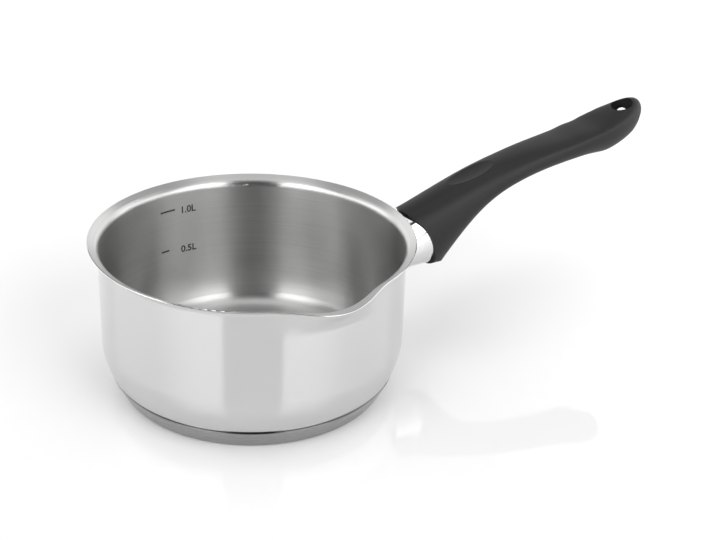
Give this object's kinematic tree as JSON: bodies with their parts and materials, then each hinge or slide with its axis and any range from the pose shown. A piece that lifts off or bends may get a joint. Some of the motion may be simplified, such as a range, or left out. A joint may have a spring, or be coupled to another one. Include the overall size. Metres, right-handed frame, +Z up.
{
  "type": "milk pan",
  "caption": "Small stainless steel milk pan with one pouring spout, an encapsulated base and a black moulded handle with a hanging hole.",
  "frame": {"origin": "centre of the flat underside, on the pan's axis", "axes": "+Z up along the pan's axis, +X along the handle away from the pan, -Y towards the pouring spout"},
  "size_m": [0.3343, 0.1714, 0.116],
  "materials": {
    "pan_steel": "polished outside, brushed round the axis inside",
    "base_steel": "satin",
    "base_aluminium": "as rolled",
    "guard_steel": "polished",
    "bracket_steel": "plain",
    "fastener_steel": "zinc plated",
    "handle_phenolic": "fine satin moulding"
  },
  "bodies": {
    "root": {"pan_body": "pan_steel", "base_cap": "base_steel", "heat_spreader_disc": "base_aluminium", "flame_guard": "guard_steel", "handle_bracket": "bracket_steel", "captive_nut": "fastener_steel", "handle_screw": "fastener_steel", "spring_washer": "fastener_steel", "plain_washer": "fastener_steel", "handle": "handle_phenolic"}
  },
  "joints": []
}
